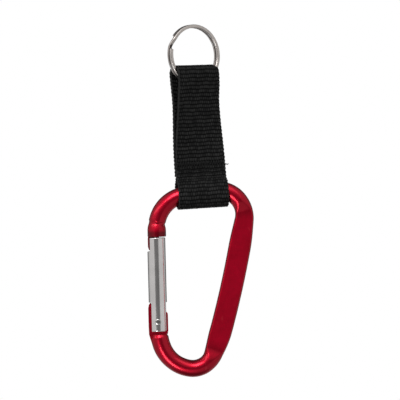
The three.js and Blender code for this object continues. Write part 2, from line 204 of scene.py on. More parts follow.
# Gate, measured from its pivot.
PIVOT = Vector(next(j["pos_m"] for j in frame["joints"] if j["name"] == "gate_pivot")) / MM
GATE_RADIUS = 3.72
GATE_TOP = 34.5
GATE_BOTTOM = -4.0
GATE_END_SWEEP = 4.75
GATE_EDGE = 0.3
GATE_BEVEL = 0.08
GATE_RING_STEP = 0.7
SHOULDER_RELIEF = 5.4
SLOT_WIDTH = 3.4
TANG_SLOT_TOP = 8.0
TONGUE_SLOT_BOTTOM = 28.8
TONGUE_SLOT_SIDE = 1.6
FLAT_X = -2.62
TOP_FLAT_BOTTOM = 29.0
BOTTOM_FLAT_TOP = 7.9
EAR_HOLE_RADIUS = 1.23
BORE_RADIUS = 2.15
BORE_TOP = 27.0
BORE_TIP = 27.8
SPRING_BOTTOM = 7.0
SPRING_TOP = 26.6
SPRING_RADIUS = 1.55
SPRING_WIRE_RADIUS = 0.28
SPRING_TURNS = 11
PLUNGER_BOTTOM = 4.3
PLUNGER_RADIUS = 1.95
PLUNGER_SHOULDER = 6.6
PLUNGER_STEM_RADIUS = 1.0
PLUNGER_TOP = 8.4
PLUNGER_LOWER_EDGE = 0.25
PLUNGER_UPPER_EDGE = 0.15
PLUNGER_TIP_EDGE = 0.3
RIVET_RADIUS = 1.2
RIVET_HALF_LENGTH = 3.9
RIVET_DOME = 0.2

# Extents of the cutting blocks and bars, which end well past the metal.
CUT_SIDE = 6
CUT_ABOVE = 40
CUT_BELOW = -8
CUT_HALF_LENGTH = 8

# Colours.
RED_LOW = (0.48, 0.0004, 0.018)
RED_HIGH = (0.54, 0.0006, 0.022)
RED_SCUFFED = (0.75, 0.06, 0.08)
# Darker red by the nose face.
RED_NEAR_NOSE_FACE = (0.20, 0.0003, 0.008)
GATE_ALUMINIUM = (0.93, 0.905, 0.89)
DENTED_ALUMINIUM = (0.42, 0.40, 0.40)
RING_NICKEL = (0.74, 0.68, 0.64)
RIVET_STEEL = (0.74, 0.72, 0.70)
SPRING_STEEL = (0.45, 0.43, 0.41)
RUBBED_STEEL = (0.82, 0.80, 0.78)
# Painted shade between the split ring's two coils.
RING_GROOVE_SHADE = (0.09, 0.075, 0.07)
# Painted light on the webbing's crowns.
YARN_LIT_CROWN = (0.025, 0.025, 0.0245)
YARN_DUSTY = (0.010, 0.010, 0.011)

# Light tent: its brightness by degrees round from the front. The front is brighter in its upper part.
TENT_FRONT = 0.135
TENT_UPPER_FRONT = 0.36
TENT_FRONT_EDGE = 25
TENT_ROUND = [(29, 0.53), (90, 0.54), (120, 0.42), (136, 0.10), (180, 0.12)]
TENT_BELOW = 0.42
TENT_NADIR_SHARE = 0.3

# Heights at which the tent changes, as the z of a direction.
TENT_UPPER_FROM = [0.12, 0.28]
TENT_HORIZON = [-0.38, -0.24]
TENT_NADIR = [-0.92, -0.78]

# Soft cards: name, direction as (aside, up), size at unit distance, radiance and roll.
CARDS = [
    ("top_card", (-0.22, 0.645), (0.44, 0.50), 6.0, 0),
    ("left_card", (-0.75, 0.43), (0.66, 0.16), 2.4, 0),
    ("top_box", (0.28, 0.75), (0.70, 0.50), 1.1, 0),
    ("low_card", (-0.36, -0.50), (0.25, 0.45), 6.0, -6),
]

# Light and camera, in metres.
CAMERA_DISTANCE = 0.9
PICTURE_WIDTH = 0.1643
AIM = Vector((0.001, 0.0, -0.0703))
CAMERA_ROLL = -1.48
CARD_DISTANCE = 0.75
FLOOR_Z = -0.8
FLOOR_RADIUS = 6.0


# Shape tools -------------------------------------------------------------------------------------


def smooth(low, high, value):
    """Rises gently from 0 to 1 between two values."""
    share = np.clip((value - low) / (high - low), 0.0, 1.0)
    return share * share * (3 - 2 * share)


def speckle(row, column):
    """Repeatable value from 0 to 1 for a row and a column."""
    return np.mod(np.sin(row * 12.9898 + column * 78.233) * 43758.5453, 1.0)


def make_object(name, points, faces, material, sharp=35):
    mesh = bpy.data.meshes.new(name)
    mesh.from_pydata([tuple(point) for point in np.asarray(points, float) * MM], [], faces)
    mesh.materials.append(material)
    obj = bpy.data.objects.new(name, mesh)
    bpy.context.scene.collection.objects.link(obj)
    shade(obj, sharp)
    return obj


def shade(obj, sharp):
    obj.data.polygons.foreach_set("use_smooth", [True] * len(obj.data.polygons))
    obj.data.set_sharp_from_angle(angle=math.radians(sharp))


def store(obj, name, kind, values):
    """Keeps a number or a vector at each point for the material."""
    made = obj.data.attributes.new(name, kind, "POINT")
    made.data.foreach_set("vector" if kind == "FLOAT_VECTOR" else "value", values.astype(np.float32).ravel())


def skin(rings):
    """Points and faces of the closed body through a list of rings, with faces out."""
    rings = np.asarray(rings, float)
    steps, count = rings.shape[:2]
    faces = []
    for i in range(steps - 1):
        for k in range(count):
            a = i * count + k
            b = i * count + (k + 1) % count
            faces.append((a, b, b + count, a + count))
    last = (steps - 1) * count
    faces.append(tuple(range(count - 1, -1, -1)))
    faces.append(tuple(range(last, last + count)))
    first, second = rings[0], rings[1]
    turn = np.cross(first - first.mean(0), np.roll(first, -1, 0) - first.mean(0)).sum(0)
    if np.dot(turn, second.mean(0) - first.mean(0)) < 0:
        faces = [face[::-1] for face in faces]
    return rings.reshape(-1, 3), faces


def lathe(profile, sides):
    """Points and faces of a body turned about Z from (radius, z) points that start and end on the axis."""
    angles = 2 * np.pi * np.arange(sides) / sides
    points = [(0, 0, profile[0][1])]
    for radius, z in profile[1:-1]:
        points += [(radius * math.cos(a), radius * math.sin(a), z) for a in angles]
    points.append((0, 0, profile[-1][1]))
    faces = [(0, 1 + (k + 1) % sides, 1 + k) for k in range(sides)]
    for i in range(len(profile) - 3):
        for k in range(sides):
            a = 1 + i * sides + k
            b = 1 + i * sides + (k + 1) % sides
            faces.append((a, b, b + sides, a + sides))
    start = 1 + (len(profile) - 3) * sides
    faces += [(start + k, start + (k + 1) % sides, len(points) - 1) for k in range(sides)]
    return np.array(points, float), faces


def round_corner(centre, radius, start, end, steps=4):
    """Arc of (across, up) points between two angles in degrees."""
    angles = np.radians(np.linspace(start, end, steps + 1))
    return [(centre[0] + radius * math.cos(a), centre[1] + radius * math.sin(a)) for a in angles]


def rim(radius, z, edge, start):
    """Rounded edge of a lathe profile: start is -90 for the edge of a lower face and 0 for an upper one."""
    inside = edge if start < 0 else -edge
    return round_corner((radius - edge, z + inside), edge, start, start + 90)


def about_pivot(points):
    """Points measured from the gate's pivot, in the part's frame."""
    return np.asarray(points, float) + np.array(PIVOT)


def along_y(points):
    """Points of a body turned about Z, laid down so that its axis is Y."""
    return np.stack([points[:, 0], -points[:, 2], points[:, 1]], 1)


def block(name, low, high):
    """Box between two corners."""
    corners = [(x, y, z) for x in (low[0], high[0]) for y in (low[1], high[1]) for z in (low[2], high[2])]
    faces = [(0, 1, 3, 2), (4, 6, 7, 5), (0, 4, 5, 1), (2, 3, 7, 6), (0, 2, 6, 4), (1, 5, 7, 3)]
    return make_object(name, corners, faces, METAL["plain"])


def pivot_bar(name, radius, half_length, sides=96):
    """Round bar along Y through the gate's pivot."""
    profile = [(0, -half_length), (radius, -half_length), (radius, half_length), (0, half_length)]
    points, faces = lathe(profile, sides)
    return make_object(name, about_pivot(along_y(points)), faces, METAL["plain"])


def blade(name, outline):
    """Plate in the frame's plane from an outline measured from the pivot, with its rims bevelled."""
    outline = np.array(outline, float)
    before = outline - np.roll(outline, 1, 0)
    after = np.roll(outline, -1, 0) - outline
    before /= np.linalg.norm(before, axis=1)[:, None]
    after /= np.linalg.norm(after, axis=1)[:, None]
    along = before + after
    along /= np.linalg.norm(along, axis=1)[:, None]
    area = np.sum(outline[:, 0] * np.roll(outline[:, 1], -1) - np.roll(outline[:, 0], -1) * outline[:, 1])
    inward = np.stack([-along[:, 1], along[:, 0]], 1) * np.sign(area)
    half = BLADE_THICKNESS / 2
    inner = half - BLADE_EDGE
    rings = []
    for y, inset in ((-half, BLADE_EDGE), (-inner, 0), (inner, 0), (half, BLADE_EDGE)):
        flat = outline + inward * inset
        rings.append(np.stack([flat[:, 0] + PIVOT.x, np.full(len(flat), y), flat[:, 1] + PIVOT.z], 1))
    points, faces = skin(rings)
    return make_object(name, points, faces, METAL["plain"])


def combine(target, operation, tools, sharp=30):
    """Joins the tools to the target or cuts them from it, and removes them."""
    for tool in tools:
        step = target.modifiers.new(tool.name, "BOOLEAN")
        step.operation = operation
        step.solver = "EXACT"
        step.object = tool
    apply_modifiers(target)
    for tool in tools:
        bpy.data.objects.remove(tool)
    shade(target, sharp)


def apply_modifiers(obj):
    graph = bpy.context.evaluated_depsgraph_get()
    made = bpy.data.meshes.new_from_object(obj.evaluated_get(graph))
    obj.modifiers.clear()
    obj.data = made


def keep_material(obj, material):
    """Leaves one material on a body that cutters have brought theirs to."""
    obj.data.materials.clear()
    obj.data.materials.append(material)


def soften_edges(obj, width, sharp=30):
    """Small bevel along every sharp edge."""
    step = obj.modifiers.new("edges", "BEVEL")
    step.limit_method = "ANGLE"
    step.angle_limit = math.radians(sharp)
    step.width = width * MM
    step.segments = 2
    apply_modifiers(obj)
    shade(obj, sharp)


def tube(path, radius, sides, ply=0.0, twist=0.0):
    """Rings of a round cord along a path. ply raises two twisted strands on it."""
    path = np.asarray(path, float)
    forward = np.gradient(path, axis=0)
    forward /= np.linalg.norm(forward, axis=1)[:, None]
    travelled = np.concatenate([[0], np.cumsum(np.linalg.norm(np.diff(path, axis=0), axis=1))])
    side = np.array([0.3, 1.0, 0.2])
    angles = 2 * np.pi * np.arange(sides) / sides
    rings = []
    for point, ahead, length in zip(path, forward, travelled):
        side = side - ahead * side.dot(ahead)
        side /= np.linalg.norm(side)
        up = np.cross(ahead, side)
        size = radius * (1 - ply + ply * np.abs(np.cos(angles + twist * length)))
        rings.append(point + np.outer(size * np.cos(angles), side) + np.outer(size * np.sin(angles), up))
    return rings


def spline(points, steps=24):
    """Catmull-Rom curve through points, with even steps in each span."""
    points = np.asarray(points, float)
    padded = np.vstack([2 * points[0] - points[1], points, 2 * points[-1] - points[-2]])
    made = []
    for i in range(len(points) - 1):
        p0, p1, p2, p3 = padded[i:i + 4]
        t = (np.arange(steps) / steps)[:, None]
        made.append(0.5 * (2 * p1 + (p2 - p0) * t + (2 * p0 - 5 * p1 + 4 * p2 - p3) * t**2
                           + (3 * p1 - p0 - 3 * p2 + p3) * t**3))
    return np.vstack(made + [points[-1:]])


def resample(points, step):
    """The same line with points at an even distance, and that distance along it."""
    lengths = np.concatenate([[0], np.cumsum(np.linalg.norm(np.diff(points, axis=0), axis=1))])
    count = int(round(lengths[-1] / step)) + 1
    places = np.linspace(0, lengths[-1], count)
    even = np.stack([np.interp(places, lengths, points[:, i]) for i in range(points.shape[1])], 1)
    return even, places


# Materials ---------------------------------------------------------------------------------------


def add_node(tree, kind, inputs=None, **settings):
    made = tree.nodes.new(kind)
    for name, value in settings.items():
        setattr(made, name, value)
    for name, value in (inputs or {}).items():
        if isinstance(value, bpy.types.NodeSocket):
            tree.links.new(value, made.inputs[name])
        else:
            made.inputs[name].default_value = value
    return made


def new_material(name, **shader):
    """Material with a Principled shader, its tree and that shader. Keywords set its sockets."""
    material = bpy.data.materials.new(name)
    material.use_nodes = True
    tree = material.node_tree
    principled = tree.nodes["Principled BSDF"]
    for key, value in shader.items():
        principled.inputs[key.replace("_", " ")].default_value = value
    return material, tree, principled


def ramp(tree, value, stops):
    """Colour ramp over a value, from (place, colour) stops."""
    made = add_node(tree, "ShaderNodeValToRGB", {"Fac": value})
    elements = made.color_ramp.elements
    while len(elements) < len(stops):
        elements.new(0.5)
    for element, (place, colour) in zip(elements, stops):
        element.position = place
        element.color = (*colour, 1)
    return made.outputs["Color"]


def grey(level):
    return (level, level, level)


def attribute(tree, name, output="Fac"):
    return add_node(tree, "ShaderNodeAttribute", attribute_name=name).outputs[output]


def stretched(tree, place, scale):
    return add_node(tree, "ShaderNodeMapping", {"Vector": place, "Scale": scale}).outputs["Vector"]


def noise(tree, place, scale, detail):
    inputs = {"Vector": place, "Scale": scale, "Detail": detail}
    return add_node(tree, "ShaderNodeTexNoise", inputs).outputs["Fac"]


def object_noise(tree, scale, detail=3.0, stretch=(1, 1, 1)):
    """Noise over the object's own metres. A small stretch value draws it out along that axis."""
    place = add_node(tree, "ShaderNodeTexCoord").outputs["Object"]
    return noise(tree, stretched(tree, place, stretch), scale, detail)


def mix_colour(tree, share, first, second, blend="MIX"):
    made = add_node(tree, "ShaderNodeMix", data_type="RGBA", blend_type=blend)
    for name, value in (("Factor_Float", share), ("A_Color", first), ("B_Color", second)):
        socket = next(s for s in made.inputs if s.identifier == name)
        if isinstance(value, bpy.types.NodeSocket):
            tree.links.new(value, socket)
        else:
            socket.default_value = value if name == "Factor_Float" else (*value, 1)
    return next(s for s in made.outputs if s.identifier == "Result_Color")


def bump(tree, height, distance, strength, under=None):
    """Normal raised by a height, on top of the one under it."""
    inputs = {"Height": height, "Distance": distance * MM, "Strength": strength}
    if under is not None:
        inputs["Normal"] = under
    return add_node(tree, "ShaderNodeBump", inputs).outputs["Normal"]


def connect(tree, shader, colour, rough, normal):
    for name, output in (("Base Color", colour), ("Roughness", rough), ("Normal", normal)):
        tree.links.new(output, shader.inputs[name])


def anodised_red():
    """Red with faint scuffs. "satin" is where it was pressed or turned, "turned" the part by the nose face,
    made darker.
    """
    material, tree, shader = new_material(
        "anodised_red_look", Metallic=1.0, Coat_Weight=0.4, Coat_Roughness=0.16, Coat_IOR=1.5)
    turned = attribute(tree, "turned")
    colour = ramp(tree, object_noise(tree, 90, 4), [(0.3, RED_LOW), (0.7, RED_HIGH)])
    scuff = ramp(tree, object_noise(tree, 700, 6, (1, 1, 0.35)), [(0.58, grey(0)), (0.72, grey(1))])
    patch = ramp(tree, object_noise(tree, 130, 2), [(0.57, grey(0)), (0.70, grey(0.6))])
    marks = mix_colour(tree, 1.0, scuff, patch, "MULTIPLY")
    colour = mix_colour(tree, marks, colour, RED_SCUFFED)
    # Darker red by the nose face.
    colour = mix_colour(tree, turned, colour, RED_NEAR_NOSE_FACE)
    cloud = object_noise(tree, 420, 5)
    polished = ramp(tree, cloud, [(0.25, grey(0.30)), (0.75, grey(0.35))])
    satin = ramp(tree, cloud, [(0.25, grey(0.39)), (0.75, grey(0.45))])
    rough = mix_colour(tree, attribute(tree, "satin"), polished, satin)
    pores = object_noise(tree, 5200, 3)
    lines = mix_colour(tree, turned, grey(0.5), object_noise(tree, 2200, 3, (0.06, 0.06, 1)))
    hairlines = object_noise(tree, 2600, 4, (1, 1, 0.08))
    normal = bump(tree, pores, 0.001, 0.6)
    normal = bump(tree, lines, 0.012, 0.8, normal)
    normal = bump(tree, hairlines, 0.001, 0.5, normal)
    connect(tree, shader, colour, rough, normal)
    return material


def shades(tone, low, high):
    """A darker and a lighter version of a colour."""
    return [tuple(channel * share for channel in tone) for share in (low, high)]


def bare_aluminium(name, tone, rough_low, rough_high):
    """Brushed along its length, with small dents."""
    material, tree, shader = new_material(name, Metallic=1.0)
    dark, light = shades(tone, 0.90, 1.02)
    colour = ramp(tree, object_noise(tree, 160, 5), [(0.3, dark), (0.7, light)])
    dents = ramp(tree, object_noise(tree, 900, 3), [(0.66, grey(0)), (0.74, grey(0.4))])
    colour = mix_colour(tree, dents, colour, DENTED_ALUMINIUM)
    streaks = object_noise(tree, 500, 4, (1, 1, 0.2))
    rough = ramp(tree, streaks, [(0.25, grey(rough_low)), (0.75, grey(rough_high))])
    grain = object_noise(tree, 4200, 5, (1, 1, 0.03))
    pits = object_noise(tree, 3400, 2)
    normal = bump(tree, grain, 0.003, 0.5)
    normal = bump(tree, pits, 0.003, 0.4, normal)
    connect(tree, shader, colour, rough, normal)
    return material


def nickel_steel(name, tone, rough_low, rough_high):
    """Plated, with brighter edges where it is rubbed. "groove" marks where shade is painted between the
    coils.
    """
    material, tree, shader = new_material(name, Metallic=1.0)
    dark, light = shades(tone, 0.82, 1.05)
    colour = ramp(tree, object_noise(tree, 240, 5), [(0.3, dark), (0.72, light)])
    convex = add_node(tree, "ShaderNodeNewGeometry").outputs["Pointiness"]
    rubbed = ramp(tree, convex, [(0.55, grey(0)), (0.62, grey(1))])
    colour = mix_colour(tree, rubbed, colour, RUBBED_STEEL)
    # Painted shade where the ring's coils face each other.
    colour = mix_colour(tree, attribute(tree, "groove"), colour, RING_GROOVE_SHADE)
    rough = ramp(tree, object_noise(tree, 800, 4), [(0.25, grey(rough_low)), (0.75, grey(rough_high))])
    scratches = object_noise(tree, 3000, 5, (1, 1, 0.25))
    connect(tree, shader, colour, rough, bump(tree, scratches, 0.001, 0.5))
    return material


def black_webbing():
    """Black yarn, with painted shade in the gaps and painted light on its crowns. "relief" is its height from
    0 to 1.
    """
    material, tree, shader = new_material(
        "black_webbing_look", Sheen_Weight=0.015, Sheen_Roughness=0.4, Specular_IOR_Level=0.06)
    place = attribute(tree, "weave_place", "Vector")
    fibres = noise(tree, stretched(tree, place, (9.0, 1.4, 9.0)), 1.0, 4.0)
    dust = noise(tree, place, 0.25, 3.0)
    height = attribute(tree, "relief")
    # Painted shade in the gaps between rows and crowns, painted light on the crowns.
    colour = ramp(tree, height, [(0.45, grey(0.0003)), (0.72, grey(0.0045)), (0.95, YARN_LIT_CROWN)])
    lit = ramp(tree, fibres, [(0.35, grey(0.7)), (0.75, grey(1.35))])
    colour = mix_colour(tree, 1.0, colour, lit, "MULTIPLY")
    faded = ramp(tree, dust, [(0.45, grey(0)), (0.8, grey(0.25))])
    colour = mix_colour(tree, faded, colour, YARN_DUSTY)
    rough = ramp(tree, fibres, [(0.3, grey(0.5)), (0.8, grey(0.75))])
    connect(tree, shader, colour, rough, bump(tree, fibres, 0.06, 0.7))
    return material


def black_thread():
    material, tree, shader = new_material(
        "black_thread_look", Sheen_Weight=0.015, Sheen_Roughness=0.4, Specular_IOR_Level=0.16)
    lint = object_noise(tree, 3000, 3)
    colour = ramp(tree, lint, [(0.3, grey(0.002)), (0.75, grey(0.007))])
    rough = ramp(tree, lint, [(0.3, grey(0.38)), (0.7, grey(0.6))])
    connect(tree, shader, colour, rough, bump(tree, object_noise(tree, 9000, 2), 0.02, 0.5))
    return material


METAL = {
    "red": anodised_red(),
    "plain": bare_aluminium("gate_aluminium_look", GATE_ALUMINIUM, 0.14, 0.20),
    "ring": nickel_steel("ring_nickel_look", RING_NICKEL, 0.20, 0.30),
    "rivet": nickel_steel("rivet_steel_look", RIVET_STEEL, 0.12, 0.22),
    "spring": nickel_steel("spring_steel_look", SPRING_STEEL, 0.20, 0.34),
}
WEBBING = black_webbing()
THREAD = black_thread()


# Split ring --------------------------------------------------------------------------------------


def on_ring(radius, angle, front):
    """Point at a radius and angle in the ring's plane, and so far in front of it."""
    yaw = math.radians(RING_YAW)
    across = radius * math.cos(math.radians(angle))
    return (
        across * math.cos(yaw) + front * math.sin(yaw),
        across * math.sin(yaw) - front * math.cos(yaw),
        RING_CENTRE_Z + radius * math.sin(math.radians(angle)),
    )


def wire_section(shrink):
    """Rounded rectangle as (radius, front) offsets from the wire's middle."""
    bevel = RING_WIRE_BEVEL
    wide = RING_WIRE_RADIAL / 2 - bevel - shrink
    thick = RING_WIRE_AXIAL / 2 - bevel - shrink
    section = []
    for x, y, start in ((1, 1, 0), (-1, 1, 90), (-1, -1, 180), (1, -1, 270)):
        section += round_corner((x * wide, y * thick), bevel, start, start + 90, 6)
    return section


def make_split_ring():
    """Two coils that touch. "groove" marks the sides that face each other, which get painted shade."""
    lap = RING_FRONT_END - RING_REAR_END
    cross_start = 360 - lap + (lap - RING_CROSSOVER) / 2
    middle = RING_OUTER_RADIUS - RING_WIRE_RADIAL / 2
    turns = np.linspace(0, 720 - lap, RING_STEPS)
    turns[1] = turns[0] + RING_END_ARC
    turns[-2] = turns[-1] - RING_END_ARC
    shrinks = np.zeros(RING_STEPS)
    shrinks[[0, -1]] = RING_END_INSET
    rings, grooves = [], []
    for turned, shrink in zip(turns, shrinks):
        move = smooth(cross_start, cross_start + RING_CROSSOVER, turned)
        front = RING_COIL_OFFSET * (2 * move - 1)
        section = wire_section(shrink)
        rings.append([on_ring(middle + r, RING_REAR_END - turned, front + n) for r, n in section])
        # Share of painted shade round the section, highest on the side facing the other coil.
        inner = [-n * front / RING_COIL_OFFSET for _, n in section]
        grooves.append(smooth(*RING_GROOVE, np.array(inner)))
    points, faces = skin(rings)
    ring = make_object("split_ring_wire", points, faces, METAL["ring"])
    store(ring, "groove", "FLOAT", np.concatenate(grooves))
    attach(ring, "ring")
    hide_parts("split_ring")


# Webbing strap -----------------------------------------------------------------------------------


def on_strap(across, out, z):
    """Point on the strap: across its width, out from its middle plane to the front, and along its height."""
    twist = smooth(TWIST_BOTTOM_Z, TWIST_TOP_Z, z)
    yaw = np.radians(BAR_YAW + (RING_YAW - BAR_YAW) * twist)
    middle = STRAP_FOOT_X - STRAP_LEAN * (z - STRAP_FOOT_Z)
    skew = BAR_SKEW * (1 - twist)
    return np.stack([
        middle + across * np.cos(yaw) + out * (np.sin(yaw) + skew),
        across * np.sin(yaw) - out * np.cos(yaw),
        z + across * STRAP_LEAN,
    ], -1)


def strip_line():
    """Middle line of the strip as (out, z) points, and the distance along it from its outer end."""
    over_ring = round_corner((0, RING_FOLD_Z), RING_FOLD_RADIUS, 180, 0, 12)
    under_bar = round_corner((0, BAR_FOLD_Z), BAR_FOLD_RADIUS, 0, -180, 16)
    behind_bar = [(-out, z) for out, z in BAR_LEG[::-1]]
    points = [*BACK_LEG, *over_ring, *FRONT_LEG, *BAR_LEG, *under_bar, *behind_bar, *TAIL]
    return resample(spline(points), STRIP_STEP)


def weave_height(across, along):
    """Height of the weave from 0 in the gaps to 1 on the crowns, with wandering rows and uneven crowns."""
    wavy = along + 0.10 * np.sin(across * 0.9 + along * 0.21) + 0.05 * np.sin(across * 2.3)
    row = np.floor(wavy / ROW_PITCH)
    in_row = 2 * (wavy / ROW_PITCH - row) - 1
    column = across / CROWN_PITCH + 0.5 * np.mod(row, 2)
    crown = np.floor(column)
    in_column = 2 * (column - crown) - 1
    ridge = np.sqrt(1 - in_row**4)
    bulge = np.sqrt(1 - in_column**4)
    vary = 0.82 + 0.18 * speckle(row, crown)
    return ridge * (0.45 + 0.55 * bulge) * vary


def seam_pull(z, aside):
    """How far the seam pulls an outer face of the strap in, at a height and a share of the half width."""
    rows = sum(np.exp(-(((z - row) / SEAM_ROW_SPREAD) ** 2)) for row in SEAM_ROWS_Z)
    above_bottom = smooth(ZIGZAG_BOTTOM_Z - ZIGZAG_OUTSIDE, ZIGZAG_BOTTOM_Z + ZIGZAG_INSIDE, z)
    above_top = smooth(ZIGZAG_TOP_Z - ZIGZAG_INSIDE, ZIGZAG_TOP_Z + ZIGZAG_OUTSIDE, z)
    zigzag = above_bottom * (1 - above_top)
    return SEAM_PULL * (rows + ZIGZAG_PULL_SHARE * zigzag) * (1 - smooth(*SEAM_SIDE, aside))


def strip_section():
    """Section as rows of (share of the flat half width, of the edge and of the half thickness, face).

    The face is 1 in front, -1 behind and 0 on the two edges.
    """
    flat = np.linspace(1, -1, STRIP_COLUMNS)
    turn = np.radians(np.linspace(0, 180, 9))[1:-1]
    front = [(x, 0.0, 1.0, 1) for x in flat]
    left = [(-1.0, -math.sin(a), math.cos(a), 0) for a in turn]
    back = [(x, 0.0, -1.0, -1) for x in flat[::-1]]
    right = [(1.0, math.sin(a), -math.cos(a), 0) for a in turn]
    return np.array(front + left + back + right)


def make_webbing():
    """The strip on its middle line. "relief" is the weave's height, "weave_place" the place on the strip."""
    line, along = strip_line()
    total = along[-1]
    forward = np.gradient(line, axis=0)
    forward /= np.linalg.norm(forward, axis=1)[:, None]
    flat_x, edge_x, depth, face = strip_section().T
    behind = face < 0
    rings, relief, places = [], [], []
    for (out, z), ahead, s in zip(line, forward, along):
        narrowed = 1 - smooth(*RING_EYE_OUT, abs(out)) if z > RING_FOLD_Z else 0.0
        half = STRAP_HALF_WIDTH - (STRAP_HALF_WIDTH - STRAP_HALF_WIDTH_IN_RING) * narrowed
        knots = EDGE_KNOT * math.sin(2 * math.pi * s / ROW_PITCH) + 0.04 * math.sin(s * 1.7)
        across = flat_x * (half - STRAP_EDGE) + edge_x * (STRAP_EDGE + knots)
        pattern = flat_x * (STRAP_HALF_WIDTH - STRAP_EDGE) + edge_x * STRAP_EDGE
        height = weave_height(pattern + BACK_CROWN_SHIFT * behind, s + BACK_ROW_SHIFT * behind)
        height = np.where(face == 0, EDGE_HEIGHT + (EDGE_CROWN - EDGE_HEIGHT) * height, height)
        from_end = min(s, total - s)
        melted = 1 - smooth(*MELTED_END, from_end)
        height = height * (1 - melted) + MELTED_HEIGHT * melted
        thick = STRAP_THICKNESS / 2 - WEAVE_RELIEF * (1 - height) * np.abs(face)
        thick = thick * (0.75 + 0.25 * smooth(*THINNED_END, from_end))
        outer = 1.0 if (s < total / 2) == (out < 0) else 0.0
        pulled = seam_pull(z, np.abs(across) / half) * outer * (face > 0)
        reach = depth * thick - pulled
        place_out = out - ahead[1] * reach
        place_z = z + ahead[0] * reach
        rings.append(on_strap(across, place_out, place_z))
        relief.append(height)
        places.append(np.stack([pattern, np.full(len(pattern), s), face * 3.0], 1))
    points, faces = skin(rings)
    strip = make_object("webbing_strip", points, faces, WEBBING, 180)
    # The weave's height, which also sets its painted shade and painted light.
    store(strip, "relief", "FLOAT", np.concatenate(relief))
    store(strip, "weave_place", "FLOAT_VECTOR", np.concatenate(places))
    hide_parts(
        "strap_ring_fold", "strap_front_layer", "strap_back_layer", "strap_bar_fold", "strap_tail")
    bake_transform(strip)
    return strip, total


def stitch(start, end, rise):
    """Path of one stitch between two (across, z) holes: it dives in at both ends and arches between them."""
    shares = np.linspace(0, 1, 9)
    arch = rise * np.sin(np.pi * shares) ** 0.5 - STITCH_DEPTH * (1 - np.sin(np.pi * shares) ** 0.25)
    return [(start[0] + (end[0] - start[0]) * t, start[1] + (end[1] - start[1]) * t, up)
            for t, up in zip(shares, arch)]


def seam_path(side, surface):
    """One thread: the zigzag across the strap, then a straight row back and a straight row out."""
    hops = []
    span = SEAM_HALF_WIDTH - ZIGZAG_LEAN
    heights = (ZIGZAG_BOTTOM_Z, ZIGZAG_TOP_Z)
    for i in range(2 * ZIGZAG_COUNT):
        lean = (ZIGZAG_LEAN, 0.0)[i % 2]
        a = span * (-1 + i / ZIGZAG_COUNT)
        b = span * (-1 + (i + 1) / ZIGZAG_COUNT)
        hops.append(((a - lean, heights[i % 2]), (b + lean, heights[(i + 1) % 2]), ZIGZAG_RISE))
    for z, way in zip(SEAM_ROWS_Z, (-1, 1)):
        places = np.linspace(-SEAM_HALF_WIDTH, SEAM_HALF_WIDTH, STITCHES_PER_ROW + 1) * way
        hops += [((a, z), (b, z), -ROW_STITCH_SINK) for a, b in zip(places[:-1], places[1:])]
    path = []
    for start, end, rise in hops:
        path += stitch(start, end, rise)
    path = np.array(path)
    return on_strap(path[:, 0] * side, surface + side * path[:, 2], path[:, 1])


def make_seam(name, node, side, surface):
    even, _ = resample(seam_path(side, surface), THREAD_STEP)
    points, faces = skin(tube(even, THREAD_RADIUS, 10, ply=0.22, twist=4.5))
    thread = make_object(name, points, faces, THREAD, 180)
    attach(thread, "strap")
    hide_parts(node)
    return thread


def make_thread_ends():
    pieces = []
    for number, end in enumerate(THREAD_ENDS, 1):
        place = spline(end, 8)
        path = on_strap(place[:, 0], place[:, 1], place[:, 2])
        points, faces = skin(tube(path, THREAD_RADIUS, 8, ply=0.2, twist=6))
        piece = make_object(f"thread_end_{number}", points, faces, THREAD, 180)
        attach(piece, "strap")
        pieces.append(piece)
    return pieces


# Carabiner frame ---------------------------------------------------------------------------------


def centre_line(distance):
    """Place in the frame's plane and heading in degrees at a distance from the nose face."""
    x, z, heading = FRAME_X, NOSE_FACE_Z, 90.0
    left = distance
    for length, turn in CENTRE_LINE:
        part = min(left, length)
        turned = turn * part / length
        middle = math.radians(heading - turned / 2)
        chord = part * np.sinc(math.radians(turned) / 2 / math.pi)
        x += chord * math.cos(middle)
        z += chord * math.sin(middle)
        heading -= turned
        left -= part
        if left <= 0:
            break
    return x, z, heading


def collar_radius(distance):
    """Turned collar: a rounded face edge, a barrel, a groove and the plain rod."""
    barrel = COLLAR_RADIUS - COLLAR_CURVE * np.maximum(0, distance - COLLAR_WIDEST) ** 2
    rounding = COLLAR_RIM * (1 - smooth(0.0, COLLAR_RIM_LENGTH, distance))
    groove = smooth(COLLAR_LENGTH - 0.1, COLLAR_LENGTH + 0.12, distance)
    floor = GROOVE_RADIUS + (ROD_RADIUS - GROOVE_RADIUS) * smooth(*GROOVE_END, distance)
    return (barrel - rounding) * (1 - groove) + floor * groove


def rod_size(distance, total):
    """Half width in the frame's plane, half thickness across it and the width of the round sides."""
    if distance < GROOVE_END[1]:
        radius = float(collar_radius(distance))
        return radius, radius, radius
    swell_start, swell_end = [total - length for length in SHOULDER_SWELL]
    pressed = float(smooth(*PRESS_START, distance) * (1 - smooth(*PRESS_END, distance)))
    widened = float(smooth(*WIDEN_START, distance) * (1 - smooth(*WIDEN_END, distance)))
    shoulder = float(smooth(swell_start, swell_end, distance)) * (SHOULDER_RADIUS - ROD_RADIUS)
    chamfer = max(0.0, distance - total + SHOULDER_CHAMFER) * SHOULDER_SLOPE
    change = shoulder - chamfer
    wide = ROD_RADIUS + (SPINE_HALF_WIDTH - ROD_RADIUS) * widened + change
    thick = ROD_RADIUS + (SPINE_HALF_THICKNESS - ROD_RADIUS) * pressed + change
    side = ROD_RADIUS + (SPINE_SIDE - ROD_RADIUS) * pressed + change
    return wide, thick, side


